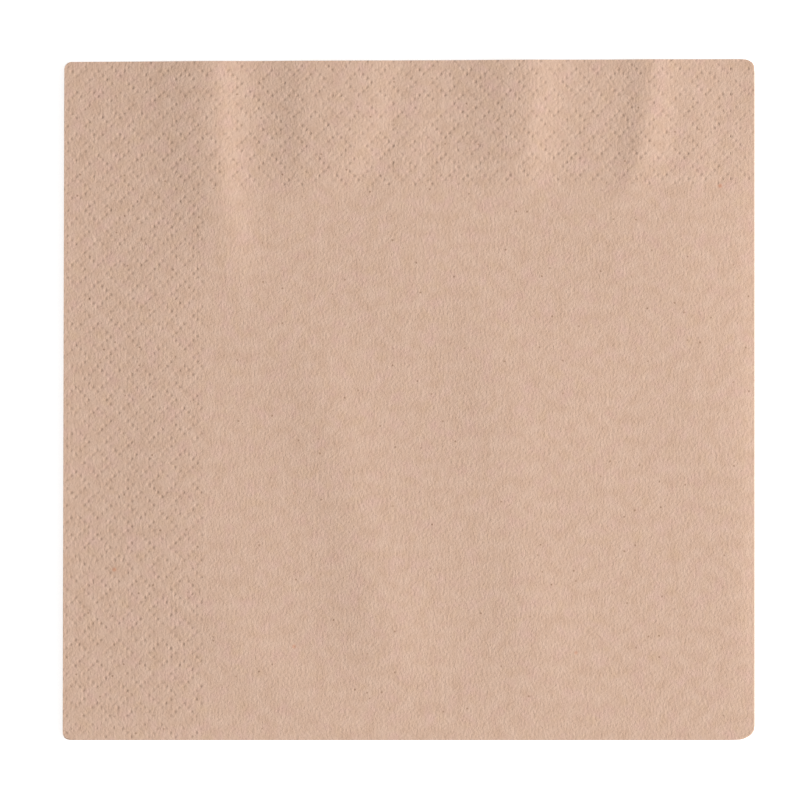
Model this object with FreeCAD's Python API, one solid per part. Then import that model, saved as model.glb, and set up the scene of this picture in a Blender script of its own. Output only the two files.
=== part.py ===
# Paper napkin: one sheet of two-ply tissue, folded in half twice.
# It lies as it is laid on a table. +X points to the first fold, -Y to the second,
# and the loose edges are at -X and +Y. The origin is the middle of the underside.

import FreeCAD, Part
import math
import os

# The open sheet
sheet_width = 330.0      # across the first fold
sheet_length = 324.5     # across the second fold
tissue = 0.2             # both plies, pressed together by the embossed border

# The folds
pair_gap = 0.12          # air between the two layers that the first fold brings together
middle_gap = 0.2         # air between the two halves that the second fold brings together
side_overlap = 0.3       # the outer layer covers the inner one by this much at -X
end_overlap = 0.3        # the upper half covers the lower one by this much at +Y
flat_fold = 3.0          # beside each fold the layers lie flat over this width

# How the top layer lies. The three layers below it are pressed flat.
loft = 0.9               # it stands this much higher in the middle
fold_roll = 2.6          # distance from the flat fold at which half of the loft is reached
side_slope = 34.0        # the loft grows over this distance from the loose side
side_loft = 0.3          # share of the loft that is left at the loose side
end_slope = 12.0         # the same two for the loose end, where the ripples start
end_loft = 0.7

# The outline from above
out_of_square = 0.7      # the loose end runs up to +X by this much
side_lean = 0.4          # the loose side leans in by this much at the loose end
loose_corner = 1.8       # corner between the cut edges
first_fold_corner = 2.6  # corner between the first fold and the loose end
second_fold_corner = 2.0  # corner between the second fold and the loose side

# Ripples run down from the loose end, where nothing holds the tissue down.
# Each has its crest at a share of the width from the loose side, its height there,
# the width of both flanks, its length and how far it wanders to +X on the way.
ripples = [
    dict(crest=0.213, height=0.85, rise=13.0, fall=6.0, length=85.0, wander=9.0),
    dict(crest=0.375, height=0.25, rise=6.0, fall=4.5, length=34.0, wander=-2.0),
    dict(crest=0.475, height=0.3, rise=5.0, fall=5.0, length=48.0, wander=5.0),
    dict(crest=0.66, height=0.65, rise=10.0, fall=5.5, length=38.0, wander=0.0),
    dict(crest=0.845, height=0.7, rise=8.0, fall=6.0, length=40.0, wander=2.0),
]

# Control points that the top layer hangs on
across_step = 4.6
ripple_step = 7.0        # along the ripples, next to the loose end
step_growth = 1.3        # the steps grow by this factor towards the second fold

# Heights of the layers, at mid-thickness, above and below the axis of the second fold
inner_level = middle_gap / 2 + tissue / 2
outer_level = inner_level + tissue + pair_gap
bend_level = (outer_level + inner_level) / 2
bend_radius = (outer_level - inner_level) / 2
axis_height = outer_level + tissue / 2

# Reach of the layers from the two folds. The layers of one half end together: the spare
# length of the inner one is taken up in small puckers inside the second fold.
outer_reach = (sheet_width - math.pi * bend_radius + side_overlap) / 2
inner_reach = outer_reach - side_overlap
upper_reach = (sheet_length - math.pi * outer_level + end_overlap) / 2
lower_reach = upper_reach - end_overlap

# Places in the plan
folded_width = outer_reach + bend_radius + tissue / 2
folded_length = upper_reach + axis_height
fold_x = folded_width / 2 - bend_radius - tissue / 2
fold_y = -folded_length / 2 + axis_height - out_of_square / 4
panel_x = fold_x - flat_fold
panel_y = fold_y + flat_fold


def side_x(level, y):
    # The loose side of a layer
    reach = outer_reach if abs(level) == outer_level else inner_reach
    return fold_x - reach + side_lean * (y - fold_y) / folded_length


def end_y(level, x):
    # The loose end of a layer. Levels below the axis of the second fold are negative.
    reach = upper_reach if level > 0 else lower_reach
    return fold_y + reach + out_of_square * x / folded_width


def half_way(distance, at):
    # 0 at the edge, one half at the given distance, and towards 1 further in
    return distance ** 2 / (distance ** 2 + at ** 2)


def ease(share):
    share = min(max(share, 0.0), 1.0)
    return share * share * (3 - 2 * share)


def ripple_height(from_side, from_end):
    total = 0.0
    for ripple in ripples:
        down = from_end / ripple["length"]
        if down >= 1:
            continue
        crest = ripple["crest"] * folded_width + ripple["wander"] * down
        flank = ripple["rise"] if from_side < crest else ripple["fall"]
        spread = (from_side - crest) / (flank * (1 - 0.4 * down))
        total += ripple["height"] * math.exp(-spread ** 2) * (1 - down) ** 2
    return total


def lift(x, y):
    # What the top layer stands above its place in a flat fold
    from_side = x - side_x(outer_level, y)
    from_end = end_y(outer_level, x) - y
    held = half_way(panel_x - x, fold_roll) * half_way(y - panel_y, fold_roll)
    side = side_loft + (1 - side_loft) * ease(from_side / side_slope)
    end = end_loft + (1 - end_loft) * ease(from_end / end_slope)
    return (loft * side * end + ripple_height(from_side, from_end)) * held


def flat_layer(level, left, right, low, high):
    # A flat piece of one layer. A side is a place, or a function of the place along it.
    def at(side, along):
        return side(along) if callable(side) else side

    bottom = axis_height + level - tissue / 2
    end = at(high, at(left, low))
    corners = [(at(left, low), low), (right, low), (right, at(high, right)),
               (at(left, end), at(high, at(left, end)))]
    points = [FreeCAD.Vector(x, y, bottom) for x, y in corners]
    outline = Part.makePolygon(points + points[:1])
    return Part.Face(outline).extrude(FreeCAD.Vector(0, 0, tissue))


def whole_layer(level):
    return flat_layer(level, lambda y: side_x(level, y), fold_x, fold_y,
                      lambda x: end_y(level, x))


def flat_strips():
    # The top layer's flat strips: along the second fold and along the first
    level = outer_level
    along_second = flat_layer(level, lambda y: side_x(level, y), fold_x, fold_y, panel_y)
    along_first = flat_layer(level, panel_x, fold_x, panel_y, lambda x: end_y(level, x))
    return [along_second, along_first]


def stations(length, step, growth):
    # Shares of a length from a loose edge to a flat strip. The steps grow by a factor,
    # and close up where the layer has to meet the strip flat.
    near_strip = [length - d for d in (2.4 * fold_roll, 1.3 * fold_roll,
                                       0.7 * fold_roll, 0.3 * fold_roll, 0.0)]
    places = [0.0]
    while places[-1] + step < near_strip[0] - 0.4 * step:
        places.append(places[-1] + step)
        step = step * growth
    return [place / length for place in places + near_strip]


def clamped(count):
    # Knots of a cubic with this many control points
    inner = count - 4
    return [4] + [1] * inner + [4], [float(i) for i in range(inner + 2)]


def lifted_panel():
    # The free panel of the top layer. It is flat and tangent where it meets the flat strips
    # beside both folds, and lifts and ripples towards the loose edges.
    level = outer_level
    across = stations(panel_x - side_x(level, 0), across_step, 1.0)
    along = stations(end_y(level, 0) - panel_y, ripple_step, step_growth)
    points = []
    for a in across:
        column = []
        for b in reversed(along):
            y = end_y(level, 0) - b * (end_y(level, 0) - panel_y)
            x = side_x(level, y) + a * (panel_x - side_x(level, y))
            y = end_y(level, x) - b * (end_y(level, x) - panel_y)
            column.append(FreeCAD.Vector(x, y, axis_height + level - tissue / 2 + lift(x, y)))
        points.append(column)
    mults_u, knots_u = clamped(len(points))
    mults_v, knots_v = clamped(len(points[0]))
    surface = Part.BSplineSurface()
    surface.buildFromPolesMultsKnots(
        points, mults_u, mults_v, knots_u, knots_v, False, False, 3, 3)
    return surface.toShape().extrude(FreeCAD.Vector(0, 0, tissue))


def bend_section():
    # Half ring of the first fold, across the fold, at the start of the second one
    def point(radius, angle):
        return FreeCAD.Vector(fold_x + radius * math.cos(angle), fold_y,
                              axis_height + bend_level + radius * math.sin(angle))

    top, side, bottom = math.pi / 2, 0.0, -math.pi / 2
    big = bend_radius + tissue / 2
    small = bend_radius - tissue / 2
    edges = [
        Part.Arc(point(big, top), point(big, side), point(big, bottom)).toShape(),
        Part.LineSegment(point(big, bottom), point(small, bottom)).toShape(),
        Part.Arc(point(small, bottom), point(small, side), point(small, top)).toShape(),
        Part.LineSegment(point(small, top), point(big, top)).toShape(),
    ]
    return Part.Face(Part.Wire(edges))


def arm_section(level):
    # The cut of one layer above the second fold, ready to be turned round it
    left = side_x(level, fold_y)
    bottom = axis_height + level - tissue / 2
    corners = [(left, bottom), (fold_x, bottom), (fold_x, bottom + tissue),
               (left, bottom + tissue)]
    points = [FreeCAD.Vector(x, fold_y, z) for x, z in corners]
    return Part.Face(Part.makePolygon(points + points[:1]))


def second_fold():
    # Everything that turns round the second fold, the end of the first one included
    axis = FreeCAD.Vector(0, fold_y, axis_height)
    sections = [arm_section(outer_level), arm_section(inner_level), bend_section()]
    return [s.revolve(axis, FreeCAD.Vector(1, 0, 0), 180) for s in sections]


def first_fold():
    # The bend of the first fold along both halves
    upper = bend_section()
    lower = upper.copy()
    lower.rotate(FreeCAD.Vector(0, fold_y, axis_height), FreeCAD.Vector(1, 0, 0), 180)
    run_up = end_y(outer_level, fold_x) - fold_y
    run_low = end_y(-outer_level, fold_x) - fold_y
    return [upper.extrude(FreeCAD.Vector(0, run_up, 0)),
            lower.extrude(FreeCAD.Vector(0, run_low, 0))]


def corner_waste(x, y, radius):
    # What is outside a rounded corner of the outline. The arc crosses both edges at a slight
    # angle, as a soft corner does, and so it never just touches the bend of a fold.
    right = math.copysign(1, x)
    up = math.copysign(1, y)
    spill = 0.04 * radius

    def point(in_x, in_y):
        return FreeCAD.Vector(x - right * in_x, y - up * in_y, -tissue)

    belly = radius * (1 - math.cos(math.pi / 4))
    arc = Part.Arc(point(-spill, radius), point(belly, belly), point(radius, -spill))
    outside = Part.makePolygon([point(radius, -spill), point(radius, -radius),
                                point(-radius, -radius), point(-radius, radius),
                                point(-spill, radius)])
    tall = 4 * axis_height + loft + sum(ripple["height"] for ripple in ripples)
    outline = Part.Wire([arc.toShape()] + outside.Edges)
    return Part.Face(outline).extrude(FreeCAD.Vector(0, 0, tall))


def napkin():
    pieces = [whole_layer(level) for level in (-outer_level, -inner_level, inner_level)]
    pieces += flat_strips() + [lifted_panel()]
    pieces += first_fold() + second_fold()
    sheet = pieces[0].multiFuse(pieces[1:])
    side = fold_x - outer_reach
    low = fold_y - axis_height
    edge = fold_x + bend_radius + tissue / 2
    waste = [
        corner_waste(side + side_lean, end_y(outer_level, side), loose_corner),
        corner_waste(edge, end_y(outer_level, fold_x), first_fold_corner),
        corner_waste(side, low, second_fold_corner),
    ]
    return sheet.cut(waste).removeSplitter()


shape = napkin()
print("valid", shape.isValid(), "solids", len(shape.Solids), "faces", len(shape.Faces))
print("volume", round(shape.Volume, 1), "sheet", round(sheet_width * sheet_length * tissue, 1))
os.makedirs("parts", exist_ok=True)
shape.exportStep("parts/napkin.step")
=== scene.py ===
import math

import bmesh
import bpy
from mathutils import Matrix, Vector, noise


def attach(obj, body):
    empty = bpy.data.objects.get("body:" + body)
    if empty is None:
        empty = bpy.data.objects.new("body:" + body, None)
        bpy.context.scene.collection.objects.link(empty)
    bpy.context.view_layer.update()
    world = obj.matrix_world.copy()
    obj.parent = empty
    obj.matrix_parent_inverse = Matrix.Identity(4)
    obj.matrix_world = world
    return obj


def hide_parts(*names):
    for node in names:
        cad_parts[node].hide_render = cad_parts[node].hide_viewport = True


# A paper napkin of brown two-ply tissue, folded in half twice and laid on a pale floor.
# The sheet is laid out flat, embossed along its edges, and then folded.

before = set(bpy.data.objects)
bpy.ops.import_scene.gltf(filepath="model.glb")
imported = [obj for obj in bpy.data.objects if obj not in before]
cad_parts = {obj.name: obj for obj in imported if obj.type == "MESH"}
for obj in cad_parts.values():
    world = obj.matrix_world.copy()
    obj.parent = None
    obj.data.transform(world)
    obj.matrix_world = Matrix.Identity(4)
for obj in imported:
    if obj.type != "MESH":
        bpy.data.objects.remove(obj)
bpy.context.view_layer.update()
mm = 0.001

# The sheet's own sizes in millimetres, as in the solid model
sheet = {
    "width": 330.0,
    "length": 324.5,
    "tissue": 0.2,
    "pairGap": 0.12,          # air inside the first fold
    "middleGap": 0.2,         # air inside the second fold
    "sideOverlap": 0.3,       # the outer layer covers the inner one by this much
    "endOverlap": 0.3,        # and the upper half the lower one
    "outOfSquare": 0.7,
    "sideLean": 0.4,
}
# levels of the layers' mid-thickness from the second fold's axis, and the first fold's bend
sheet["inner"] = sheet["middleGap"] / 2 + sheet["tissue"] / 2
sheet["outer"] = sheet["inner"] + sheet["tissue"] + sheet["pairGap"]
sheet["bend"] = (sheet["outer"] - sheet["inner"]) / 2
sheet["axis"] = sheet["outer"] + sheet["tissue"] / 2
# reach of the top layer from the folds, and where the folds stand
sheet["outerReach"] = (sheet["width"] - math.pi * sheet["bend"] + sheet["sideOverlap"]) / 2
sheet["upperReach"] = (sheet["length"] - math.pi * sheet["outer"] + sheet["endOverlap"]) / 2
sheet["foldedWidth"] = sheet["outerReach"] + sheet["bend"] + sheet["tissue"] / 2
sheet["foldedLength"] = sheet["upperReach"] + sheet["axis"]
sheet["foldX"] = sheet["foldedWidth"] / 2 - sheet["bend"] - sheet["tissue"] / 2
sheet["foldY"] = -sheet["foldedLength"] / 2 + sheet["axis"] - sheet["outOfSquare"] / 4
# the folded outline, and the middles of both bends on the open sheet
sheet["left"] = sheet["foldX"] - sheet["outerReach"]
sheet["right"] = sheet["foldX"] + sheet["bend"]
sheet["low"] = sheet["foldY"] - sheet["outer"]
sheet["high"] = sheet["foldY"] + sheet["upperReach"]
sheet["middleU"] = sheet["outerReach"] + math.pi * sheet["bend"] / 2
sheet["middleV"] = sheet["upperReach"] + math.pi * sheet["outer"] / 2

# How the top layer lies: it lifts off the pressed ones, most where no fold holds it
lie = {
    "loft": 0.9,
    "roll": 2.0,              # beside a fold a first part of the loft is soon reached
    "rollShare": 0.46,
    "slope": 34.0,            # and the rest grows over this distance,
    "slopeGrowth": 46.0,      # which is longer beside the lower part of the first fold,
    "growthStart": 60.0,      # from this far below the loose end
    "sideSlope": 34.0,
    "sideLoft": 0.3,          # shares of the loft that are left at the loose side and end
    "endSlope": 12.0,
    "endLoft": 0.7,
    "foldDrop": 40.0,         # the loose end lies lower over this width beside the first fold
    "taper": 0.3,             # ripples get narrower by this share on their way down
    "ridgeEnd": 1.6,          # ridges run out over this many of their widths
    "swell": 0.22,            # faint hollows and swells over the whole panel
    "swellSize": 26.0,
    "swellSlant": (0.6, 0.3),
    "swellPlace": 4.2,        # where in the noise they are taken from
}

# Corners of the outline, each with its half axes along the loose end and the loose side
corners = [
    {"x": sheet["left"], "y": sheet["high"], "reach": (1.8, 1.8)},
    {"x": sheet["right"], "y": sheet["high"], "reach": (2.6, 2.4)},
    {"x": sheet["right"], "y": sheet["low"], "reach": (4.6, 3.2)},
    {"x": sheet["left"], "y": sheet["low"], "reach": (1.8, 1.8)},
]

# Ripples run down from the loose end and stop below the stiff embossed band.
# Place and size in mm from the loose side
ripples = [
    {"crest": 35.2, "height": 1.10, "rise": 12.0, "fall": 6.0, "length": 60.0, "wander": 7.0},
    {"crest": 58.0, "height": 0.72, "rise": 7.0, "fall": 14.0, "length": 36.0, "wander": -1.0},
    {"crest": 73.0, "height": 0.50, "rise": 11.0, "fall": 6.5, "length": 38.0, "wander": -14.0},
    {"crest": 85.0, "height": 0.16, "rise": 4.0, "fall": 5.0, "length": 38.0, "wander": -10.0},
    {"crest": 110.5, "height": 1.15, "rise": 13.0, "fall": 7.5, "length": 36.0, "wander": -1.5},
    {"crest": 140.5, "height": 0.80, "rise": 5.4, "fall": 6.5, "length": 37.0, "wander": -7.0},
    {"crest": 151.0, "height": 0.25, "rise": 4.0, "fall": 5.0, "length": 36.0, "wander": 0.0},
]

# Soft ridges in the calm part: both ends in mm from the loose side and the loose end
ridges = [
    {"start": (62.0, 78.0), "end": (77.0, 140.0), "height": 0.40, "width": 8.5},
    {"start": (101.0, 68.0), "end": (113.0, 138.0), "height": 0.34, "width": 9.0},
    {"start": (150.0, 32.0), "end": (153.0, 84.0), "height": 0.22, "width": 8.0},
    {"start": (43.0, 141.0), "end": (62.0, 158.0), "height": 0.42, "width": 7.0},
]

# The embossed border: rings of twelve dots, each ring a diamond, in staggered rows
emboss = {
    "pitchX": 10.37,
    "pitchY": 10.07,
    "startX": 7.99,           # a ring's centre, from the loose side
    "startY": 5.27,           # and from the loose end
    "steps": 10,              # dots lie on a lattice of this many steps a repeat
    "near": 0.05,             # steps within which a vertex lies on that lattice
    "ring": 3,                # steps from a ring's centre to its dots
    "sideBand": 33.5,
    "endBand": 30.0,
    "margin": 0.2,            # no dot is nearer to a cut edge,
    "foldMargin": 4.0,        # or to the middle of a fold
    "depth": 0.13,
    "radius": 0.6,
}

# Rows and columns of the mesh over the open sheet, in mm
spacing = {
    "edge": (0.6, 1.4, 2.6),  # from a cut edge to the rows beside it
    "latticeStart": 1.0,
    "lattice": 2,             # emboss steps from row to row in the upper panel
    "cuts": 3,                # cuts between two of these rows in the border
    "beyond": 1.0,            # the border's finer part goes on by this much
    "clear": 5.0,             # beside a fold the rows leave the lattice
    "fine": 0.3,              # first step beside a fold
    "growth": 1.6,            # and how fast they grow,
    "panel": 2.2,             # up to this in the upper panel
    "hidden": 9.0,            # and up to this in the layers below it
    "last": 0.6,              # the last step is at least this share of a full one
    "bend": 8,                # parts of a bend
    "sharp": 50.0,            # degrees from which an edge is a hard one
}


def smooth(share):
    share = min(max(share, 0.0), 1.0)
    return share * share * (3 - 2 * share)


def heldDown(distance, slope):
    # How free the top layer is at this distance from a fold, 0 to 1
    distance = max(distance, 0.0)
    roll = distance ** 2 / (distance ** 2 + lie["roll"] ** 2)
    return lie["rollShare"] * roll + (1 - lie["rollShare"]) * smooth(distance / slope)


def ridgeHeight(fromSide, fromEnd):
    total = 0.0
    for r in ridges:
        (x0, y0), (x1, y1) = r["start"], r["end"]
        length = math.hypot(x1 - x0, y1 - y0)
        alongX, alongY = (x1 - x0) / length, (y1 - y0) / length
        along = (fromSide - x0) * alongX + (fromEnd - y0) * alongY
        across = ((fromSide - x0) * alongY - (fromEnd - y0) * alongX) / r["width"]
        past = max(-along, along - length, 0.0) / (lie["ridgeEnd"] * r["width"])
        total += r["height"] * math.exp(-across * across - past * past)
    return total


def rippleHeight(fromSide, fromEnd):
    # Each keeps most of its height for the first half of its length
    total = 0.0
    for r in ripples:
        down = max(fromEnd, 0.0) / r["length"]
        if down >= 1:
            continue
        crest = r["crest"] + r["wander"] * down * down
        flank = r["rise"] if fromSide < crest else r["fall"]
        spread = (fromSide - crest) / (flank * (1 - lie["taper"] * down))
        total += r["height"] * math.exp(-spread * spread) * (1 - down ** 4) ** 2
    return total


def swell(x, y):
    size = lie["swellSize"]
    slantX, slantY = lie["swellSlant"]
    place = Vector(((x + slantX * y) / size, (y - slantY * x) / size, lie["swellPlace"]))
    return lie["swell"] * noise.noise(place)


def lift(x, y):
    # What the top layer stands above a flat fold
    fromSide = x - sheet["left"]
    fromEnd = sheet["high"] - y
    fromFold = sheet["right"] - x
    slope = lie["slope"] + lie["slopeGrowth"] * smooth(fromEnd / lie["growthStart"] - 1)
    held = heldDown(fromFold, slope) * heldDown(y - sheet["foldY"], lie["slope"])
    side = lie["sideLoft"] + (1 - lie["sideLoft"]) * smooth(fromSide / lie["sideSlope"])
    # towards the first fold the loose end lies lower
    endLoft = lie["endLoft"] * (1 - smooth(1 - fromFold / lie["foldDrop"]))
    endSlope = lie["endSlope"] + lie["foldDrop"] * (1 - endLoft / lie["endLoft"])
    end = endLoft + (1 - endLoft) * smooth(fromEnd / endSlope)
    waves = rippleHeight(fromSide, fromEnd) + ridgeHeight(fromSide, fromEnd) + swell(x, y)
    return (lie["loft"] * side * end + waves) * held


def section(u):
    # The hairpin of the first fold: x, and the level above the second fold's axis.
    # u runs over the open sheet from the loose side.
    bend = sheet["bend"]
    past = u - sheet["outerReach"]
    if past < 0:
        return sheet["foldX"] + past, sheet["outer"]
    if past < math.pi * bend:
        turn = past / bend
        return sheet["foldX"] + bend * math.sin(turn), sheet["inner"] + bend * (1 + math.cos(turn))
    return sheet["foldX"] - (past - math.pi * bend), sheet["inner"]


def cornerDraw(x, y, corner):
    # Draws the square corner in to a quarter of an ellipse
    reachX, reachY = corner["reach"]
    shareX = 1 - abs(corner["x"] - x) / reachX
    shareY = 1 - abs(corner["y"] - y) / reachY
    if shareX <= 0 or shareY <= 0:
        return 0.0, 0.0
    drawX = reachX * shareX * (1 - math.sqrt(1 - shareY * shareY / 2))
    drawY = reachY * shareY * (1 - math.sqrt(1 - shareX * shareX / 2))
    return -math.copysign(drawX, corner["x"]), -math.copysign(drawY, corner["y"])


def outlineShift(x, y):
    # Rounds the corners, and leans the loose side and the loose end
    dx = dy = 0.0
    for corner in corners:
        drawX, drawY = cornerDraw(x, y, corner)
        dx += drawX
        dy += drawY
    up = (y - sheet["low"]) / sheet["foldedLength"]
    dx += sheet["sideLean"] * up * (sheet["right"] - x) / sheet["foldedWidth"]
    dy += sheet["outOfSquare"] * up * x / sheet["foldedWidth"]
    return x + dx, y + dy


def foldedPlace(u, v):
    # Where a point of the flat sheet lies once both folds are made.
    # v runs from the upper half's loose end, round the second fold, to the lower half's.
    # The layers turn together, so the inner one is a little gathered in the second fold.
    x, level = section(u)
    outer = sheet["outer"]
    past = v - sheet["middleV"]
    fromFold = abs(past) - math.pi * outer / 2
    if fromFold < 0:
        turn = math.pi / 2 + past / outer
        y = sheet["foldY"] - level * math.sin(turn)
        z = sheet["axis"] + level * math.cos(turn)
    elif past < 0:
        y = sheet["foldY"] + fromFold
        # the lift runs out round the first fold
        share = (level - sheet["inner"]) / (outer - sheet["inner"])
        z = sheet["axis"] + level + lift(x, y) * share
    else:
        y = sheet["foldY"] + fromFold
        z = sheet["axis"] - level
    x, y = outlineShift(x, y)
    return Vector((x, y, z))


def foldedPoint(u, v, off):
    # off is the height over the sheet's mid-thickness while it lay flat
    step = 0.02
    alongU = foldedPlace(u + step, v) - foldedPlace(u - step, v)
    alongV = foldedPlace(u, v + step) - foldedPlace(u, v - step)
    return foldedPlace(u, v) + alongV.cross(alongU).normalized() * off


def graded(length, coarse):
    # Places from 0 to this length, whose steps grow up to coarse
    places, step = [0.0], spacing["fine"]
    while places[-1] + step < length - step * spacing["last"]:
        places.append(places[-1] + step)
        step = min(step * spacing["growth"], coarse)
    return places + [length]


def latticePlaces(start, pitch, low, high):
    first = math.ceil((low - start) / pitch)
    last = math.floor((high - start) / pitch)
    return [start + pitch * k for k in range(first, last + 1)]


def sheetPlaces(start, pitch, middle, radius, total):
    # Rows or columns over the open sheet: on the emboss lattice in the upper panel,
    # close together round the fold and at both ends, and wide apart beyond the fold
    bend = math.pi * radius
    before, after = middle - bend / 2, middle + bend / 2
    near, mid, far = spacing["edge"]
    places = [0.0, near] + latticePlaces(start, spacing["lattice"] * pitch,
                                         spacing["latticeStart"], before - spacing["clear"])
    beside = graded(before - places[-1], spacing["panel"])[:-1]
    places += [before - d for d in reversed(beside)]
    places += [before + bend * k / spacing["bend"] for k in range(1, spacing["bend"])]
    places += [after + d for d in graded(total - far - after, spacing["hidden"])]
    return places + [total - mid, total - near, total]


def isDot(u, v):
    # True on a point of the lattice where the emboss roll presses a dot
    count = emboss["steps"]
    i = (u - emboss["startX"]) * count / emboss["pitchX"]
    j = (v - emboss["startY"]) * count / emboss["pitchY"]
    if abs(i - round(i)) >= emboss["near"] or abs(j - round(j)) >= emboss["near"]:
        return False
    i, j = round(i) % count, round(j) % count
    fromRing = min(i, count - i) + min(j, count - j)
    return fromRing in (emboss["ring"], count - emboss["ring"])


def inBorder(x, y, foldMargin, beyond=0.0):
    # In a band of the upper panel, this clear of the middle of both folds
    bands = x < emboss["sideBand"] + beyond or -y < emboss["endBand"] + beyond
    return bands and x < sheet["middleU"] - foldMargin and -y < sheet["middleV"] - foldMargin


def objectFrom(bm, name):
    mesh = bpy.data.meshes.new(name)
    bm.to_mesh(mesh)
    bm.free()
    obj = bpy.data.objects.new(name, mesh)
    bpy.context.collection.objects.link(obj)
    return obj


def makeNapkin():
    columns = sheetPlaces(emboss["startX"], emboss["pitchX"] / emboss["steps"],
                          sheet["middleU"], sheet["bend"], sheet["width"])
    rows = sheetPlaces(emboss["startY"], emboss["pitchY"] / emboss["steps"],
                       sheet["middleV"], sheet["outer"], sheet["length"])
    bm = bmesh.new()
    bmesh.ops.create_grid(bm, x_segments=len(columns) - 1, y_segments=len(rows) - 1, size=1)
    for v in bm.verts:
        i = round((v.co.x + 1) / 2 * (len(columns) - 1))
        j = round((1 - v.co.y) / 2 * (len(rows) - 1))
        v.co = Vector((columns[i], -rows[j], 0))

    # thickness first, so that the dots press into the outer side alone
    bmesh.ops.solidify(bm, geom=bm.faces[:], thickness=sheet["tissue"])
    middle = sum(v.co.z for v in bm.verts) / len(bm.verts)
    for v in bm.verts:
        v.co.z = sheet["tissue"] / 2 if v.co.z > middle else -sheet["tissue"] / 2
    outerSide = sheet["tissue"] * 0.4

    border = []
    for f in bm.faces:
        c = f.calc_center_median()
        if c.z > outerSide and inBorder(c.x, c.y, spacing["clear"], spacing["beyond"]):
            border.append(f)
    edges = {e for f in border for e in f.edges}
    bmesh.ops.subdivide_edges(bm, edges=list(edges), cuts=spacing["cuts"], use_grid_fill=True)
    print("napkin: border divided,", len(bm.faces), "faces")

    dots = 0
    for v in bm.verts:
        if v.co.z < outerSide or min(v.co.x, -v.co.y) < emboss["margin"]:
            continue
        if inBorder(v.co.x, v.co.y, emboss["foldMargin"]) and isDot(v.co.x, -v.co.y):
            v.co.z -= emboss["depth"]
            dots += 1
    print("napkin:", dots, "dots pressed")

    flat = bm.loops.layers.uv.new("flat")
    for face in bm.faces:
        face.smooth = True
        for loop in face.loops:
            loop[flat].uv = (loop.vert.co.x * mm, -loop.vert.co.y * mm)
    for v in bm.verts:
        v.co = foldedPoint(v.co.x, -v.co.y, v.co.z) * mm
    bmesh.ops.recalc_face_normals(bm, faces=bm.faces[:])
    for e in bm.edges:
        if len(e.link_faces) == 2 and e.calc_face_angle() > math.radians(spacing["sharp"]):
            e.smooth = False
    obj = objectFrom(bm, "napkinTissue")
    print("napkin: folded,", len(obj.data.polygons), "faces")
    return obj


def linear(hexColour):
    # sRGB hex to a linear colour
    parts = [int(hexColour[k:k + 2], 16) / 255 for k in (1, 3, 5)]
    return [p / 12.92 if p <= 0.04045 else ((p + 0.055) / 1.055) ** 2.4 for p in parts] + [1.0]


def addNode(owner, kind, settings=None, **links):
    # One node of a material or a world, its settings by attribute or input name, and what
    # feeds its inputs. in0, in1 and so on are inputs by number.
    node = owner.node_tree.nodes.new(kind)
    for name, value in (settings or {}).items():
        if name in node.inputs and not hasattr(node, name):
            node.inputs[name].default_value = value
        elif name[2:].isdigit():
            node.inputs[int(name[2:])].default_value = value
        else:
            setattr(node, name, value)
    for name, source in links.items():
        key = int(name[2:]) if name[2:].isdigit() else name.replace("_", " ")
        owner.node_tree.links.new(source, node.inputs[key])
    return node


def calc(owner, operation, first, second=0):
    # A math node; numbers are set on it and sockets are linked
    settings, links = {"operation": operation}, {}
    for name, value in (("in0", first), ("in1", second)):
        (settings if isinstance(value, (int, float)) else links)[name] = value
    return addNode(owner, "ShaderNodeMath", settings, **links).outputs["Value"]


def ranged(owner, value, low, high, atLow, atHigh, kind="LINEAR"):
    settings = {"interpolation_type": kind, "in1": low, "in2": high, "in3": atLow, "in4": atHigh}
    return addNode(owner, "ShaderNodeMapRange", settings, in0=value).outputs["Result"]


# Unbleached recycled tissue: creped off the drying drum, which leaves fine short lines along
# the sheet. Clouds of pinker and yellower fibre, bark specks, few red fibres, and no gloss.
tissue = {
    "base": "#D6B59F",
    "dark": "#D1AF98",
    "pale": "#DABAA5",
    "pink": "#DAB2A7",
    "yellow": "#D5B496",
    # size in mm, noise levels where a cloud starts and is full, and its place in the noise
    "toneClouds": (3.0, 0.3, 0.7, 0.0),
    "pinkClouds": (4.5, 0.5, 0.75, 3.1),
    "yellowClouds": (4.0, 0.55, 0.75, 7.7),
    "tint": 0.42,             # share of the pink and yellow where they are strongest
    # pitch and radius in mm, share of the cells that have one, and its strength
    "speckAndDotShade": "#8E6B54",
    "specks": (2.9, 0.33, 0.45, 0.7),
    "fibre": "#D08058",
    "fibres": (11.0, 0.7, 0.3, 0.5),
    "creasePitch": 0.66,      # mm across the crepe lines
    "creaseLength": 1.4,      # mm along them
    "creaseDepth": 0.10,      # heights in mm
    "grainDepth": 0.17,
    "grainScale": 1500.0,
    "dotDepth": 0.095,
    "dotShade": 0.17,         # painted shade in the pressed dots, which are also denser
    "wearScale": 420.0,       # the roll wears, so some dots come out weaker:
    "wear": (0.35, 0.62, 0.35, 1.15),   # noise levels, and the strengths that they give
    "roughness": 0.92,
    "specular": 0.2,
}


def crepe(m, uv):
    # Lines along the sheet, as noise drawn out; returns a height around 0.5
    scale = (1 / (tissue["creasePitch"] * mm), 1 / (tissue["creaseLength"] * mm), 1)
    space = addNode(m, "ShaderNodeMapping", {"Scale": scale}, Vector=uv).outputs["Vector"]
    return addNode(m, "ShaderNodeTexNoise", {"Scale": 1.0, "Detail": 2.0, "Roughness": 0.6,
                                             "Distortion": 0.25}, Vector=space).outputs["Fac"]


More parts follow.
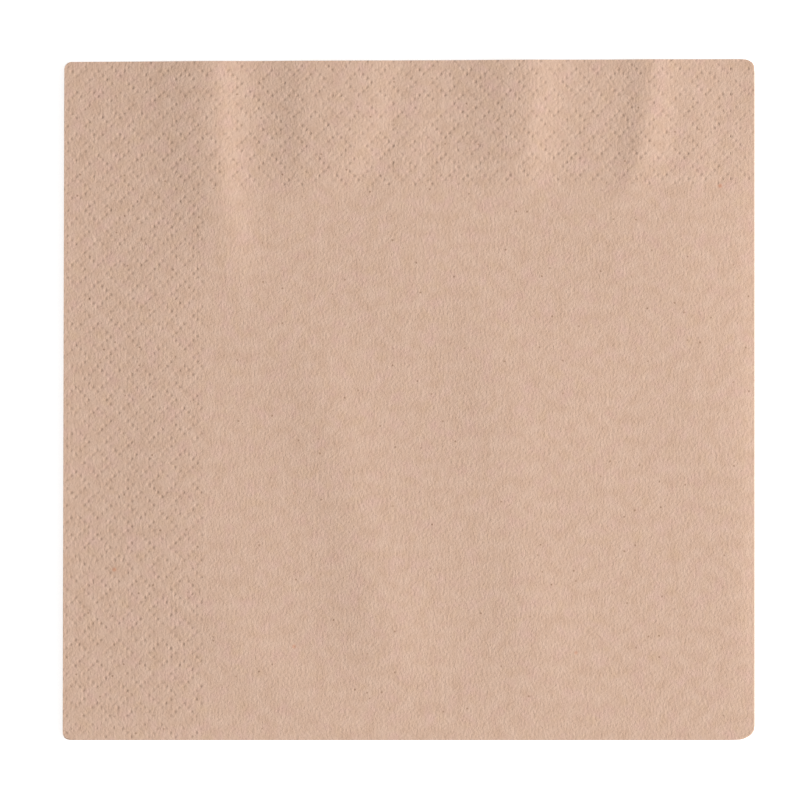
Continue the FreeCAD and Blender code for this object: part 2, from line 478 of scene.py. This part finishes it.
def embossedDots(m, uv):
    # 1 in the middle of a dot, 0 outside. The repeat is folded onto its own quarter, where
    # the dots of both rings are the lattice points two steps off the diagonal.
    parts = addNode(m, "ShaderNodeSeparateXYZ", Vector=uv)
    count = emboss["steps"]
    offs, rounded, bands = [], [], []
    for axis, size, band in (("X", "width", "sideBand"), ("Y", "length", "endBand")):
        along, pitch = parts.outputs[axis], emboss["pitch" + axis]
        place = calc(m, "SUBTRACT", calc(m, "MULTIPLY", along, count / (pitch * mm)),
                     emboss["start" + axis] * count / pitch)
        quarter = calc(m, "PINGPONG", place, count / 2)
        nearest = calc(m, "ROUND", quarter)
        offs.append(calc(m, "MULTIPLY", calc(m, "SUBTRACT", quarter, nearest), pitch / count))
        rounded.append(nearest)
        fromEdge = calc(m, "PINGPONG", along, sheet[size] / 2 * mm)
        bands.append(calc(m, "LESS_THAN", fromEdge, emboss[band] * mm))
    diagonal = calc(m, "SUBTRACT", calc(m, "ADD", *rounded), count / 2)
    onRing = calc(m, "COMPARE", calc(m, "ABSOLUTE", diagonal), count / 2 - emboss["ring"])
    distance = calc(m, "SQRT", calc(m, "ADD", *[calc(m, "MULTIPLY", off, off) for off in offs]))
    core = ranged(m, distance, 0.0, emboss["radius"], 1.0, 0.0, "SMOOTHSTEP")
    return calc(m, "MULTIPLY", calc(m, "MULTIPLY", core, onRing), calc(m, "MAXIMUM", *bands))


def spots(m, uv, pitch, radius, kept, strength):
    # Soft round spots, one in a share of the cells
    cells = addNode(m, "ShaderNodeTexVoronoi", {"Scale": 1 / (pitch * mm)}, Vector=uv)
    core = ranged(m, cells.outputs["Distance"], 0.3 * radius / pitch, radius / pitch, 1.0, 0.0)
    lot = addNode(m, "ShaderNodeSeparateColor", Color=cells.outputs["Color"]).outputs["Red"]
    spot = calc(m, "MULTIPLY", core, calc(m, "LESS_THAN", lot, kept))
    return calc(m, "MULTIPLY", spot, strength)


def clouds(m, uv, size, low, high, place):
    moved = addNode(m, "ShaderNodeMapping", {"Location": (place, place, 0)}, Vector=uv)
    fac = addNode(m, "ShaderNodeTexNoise", {"Scale": 1 / (size * mm), "Detail": 3.0},
                  Vector=moved.outputs["Vector"]).outputs["Fac"]
    return ranged(m, fac, low, high, 0.0, 1.0)


def blend(m, share, under, over):
    # Colour mix; over is a hex colour
    return addNode(m, "ShaderNodeMix", {"data_type": "RGBA", "in7": linear(over)},
                   in0=share, in6=under).outputs[2]


def newMaterial(name):
    m = bpy.data.materials.new(name)
    m.use_nodes = True
    m.node_tree.nodes.clear()
    return m


def tissueMaterial():
    m = newMaterial("crepedBrownTissue")
    uv = addNode(m, "ShaderNodeUVMap", {"uv_map": "flat"}).outputs["UV"]
    lines = crepe(m, uv)
    wear = addNode(m, "ShaderNodeTexNoise", {"Scale": tissue["wearScale"], "Detail": 1.0},
                   Vector=uv).outputs["Fac"]
    dots = calc(m, "MULTIPLY", embossedDots(m, uv), ranged(m, wear, *tissue["wear"]))
    grain = addNode(m, "ShaderNodeTexNoise", {"Scale": tissue["grainScale"], "Detail": 2.0,
                                              "Roughness": 0.6}, Vector=uv).outputs["Fac"]

    ramp = addNode(m, "ShaderNodeValToRGB", Fac=clouds(m, uv, *tissue["toneClouds"]))
    ramp.color_ramp.elements[0].color = linear(tissue["dark"])
    ramp.color_ramp.elements[1].color = linear(tissue["pale"])
    ramp.color_ramp.elements.new(0.5).color = linear(tissue["base"])
    pink = calc(m, "MULTIPLY", clouds(m, uv, *tissue["pinkClouds"]), tissue["tint"])
    yellow = calc(m, "MULTIPLY", clouds(m, uv, *tissue["yellowClouds"]), tissue["tint"])
    colour = blend(m, pink, ramp.outputs["Color"], tissue["pink"])
    colour = blend(m, yellow, colour, tissue["yellow"])
    colour = blend(m, spots(m, uv, *tissue["specks"]), colour, tissue["speckAndDotShade"])
    colour = blend(m, spots(m, uv, *tissue["fibres"]), colour, tissue["fibre"])
    # painted shade: the pressed dots are darkened towards the speck colour
    colour = blend(m, calc(m, "MULTIPLY", dots, tissue["dotShade"]), colour, tissue["speckAndDotShade"])

    height = calc(m, "ADD", calc(m, "MULTIPLY", lines, tissue["creaseDepth"]),
                  calc(m, "MULTIPLY", grain, tissue["grainDepth"]))
    height = calc(m, "SUBTRACT", height, calc(m, "MULTIPLY", dots, tissue["dotDepth"]))
    bump = addNode(m, "ShaderNodeBump", {"Strength": 1.0, "Distance": mm},
                   Height=height).outputs["Normal"]
    shader = addNode(m, "ShaderNodeBsdfPrincipled",
                     {"Roughness": tissue["roughness"], "Specular IOR Level": tissue["specular"]},
                     Base_Color=colour, Normal=bump)
    addNode(m, "ShaderNodeOutputMaterial", Surface=shader.outputs["BSDF"])
    return m


# Matt white paper sweep: pure white to the camera, and it still takes the napkin's shadow.
# Its size is in metres, and it lies this many mm below the napkin.
floorLook = {"colour": "#F4F4F4", "glow": 0.66, "size": 6.0, "below": 0.02}


def showsBackground(owner):
    # 1 for the rays that show the background itself, 0 for its light on the napkin
    path = addNode(owner, "ShaderNodeLightPath").outputs
    mirrored = calc(owner, "MAXIMUM", path["Is Glossy Ray"], path["Is Transmission Ray"])
    return calc(owner, "MAXIMUM", path["Is Camera Ray"], mirrored)


def floorMaterial():
    m = newMaterial("mattWhiteSweep")
    glow = calc(m, "MULTIPLY", showsBackground(m), floorLook["glow"])
    shader = addNode(m, "ShaderNodeBsdfPrincipled",
                     {"Base Color": linear(floorLook["colour"]), "Roughness": 1.0,
                      "Specular IOR Level": 0.0, "Emission Color": (1, 1, 1, 1)},
                     Emission_Strength=glow)
    addNode(m, "ShaderNodeOutputMaterial", Surface=shader.outputs["BSDF"])
    return m


def makeFloor():
    bm = bmesh.new()
    bmesh.ops.create_grid(bm, x_segments=2, y_segments=2, size=floorLook["size"] / 2)
    bmesh.ops.translate(bm, verts=bm.verts[:], vec=(0, 0, -floorLook["below"] * mm))
    obj = objectFrom(bm, "floor")
    obj.data.materials.append(floorMaterial())
    return obj


# A softbox stands low to the right: it shows the ripples and the dots, and the side next to it
# is a little brighter. The world fills the rest.
lights = {
    "world": 0.42,
    "power": 123.0,           # watts
    "distance": 3.4,          # metres
    "elevation": 30.0,
    "azimuth": -8.0,          # degrees from +X towards +Y
    "size": 0.7,
}


def makeLights():
    world = bpy.data.worlds.new("studio")
    bpy.context.scene.world = world
    world.use_nodes = True
    background = world.node_tree.nodes["Background"]
    background.inputs["Color"].default_value = (1, 1, 1, 1)
    # white where it is seen past the floor, and plain fill light on the napkin
    extra = calc(world, "MULTIPLY", showsBackground(world), 1 - lights["world"])
    strength = calc(world, "ADD", extra, lights["world"])
    world.node_tree.links.new(strength, background.inputs["Strength"])
    data = bpy.data.lights.new("softbox", "AREA")
    data.shape = "SQUARE"
    data.size = lights["size"]
    data.energy = lights["power"]
    softbox = bpy.data.objects.new("softbox", data)
    bpy.context.collection.objects.link(softbox)
    up, turned = math.radians(lights["elevation"]), math.radians(lights["azimuth"])
    level = math.cos(up)
    toLight = Vector((level * math.cos(turned), level * math.sin(turned), math.sin(up)))
    softbox.location = toLight * lights["distance"]
    softbox.rotation_euler = toLight.to_track_quat("Z", "Y").to_euler()


# The camera looks straight down through a long lens. It stands this many metres over the top
# layer, and sees this many mm across there.
view = {"height": 1.5, "across": 190.7, "centreX": -2.09, "centreY": -0.07, "layer": 2.5}


def makeCamera():
    data = bpy.data.cameras.new("camera")
    data.sensor_width = 36.0
    data.lens = data.sensor_width / 2 / (view["across"] / 2 * mm / view["height"])
    data.clip_start, data.clip_end = 0.05, 20.0
    camera = bpy.data.objects.new("camera", data)
    bpy.context.collection.objects.link(camera)
    camera.location = (view["centreX"] * mm, view["centreY"] * mm,
                       view["height"] + view["layer"] * mm)
    bpy.context.scene.camera = camera


makeCamera()
makeLights()
makeFloor()
print("stage ready")

napkin = makeNapkin()
napkin.data.materials.append(tissueMaterial())
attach(napkin, "root")
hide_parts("napkin")
bpy.context.scene.view_settings.view_transform = "Standard"
print("napkin dressed")
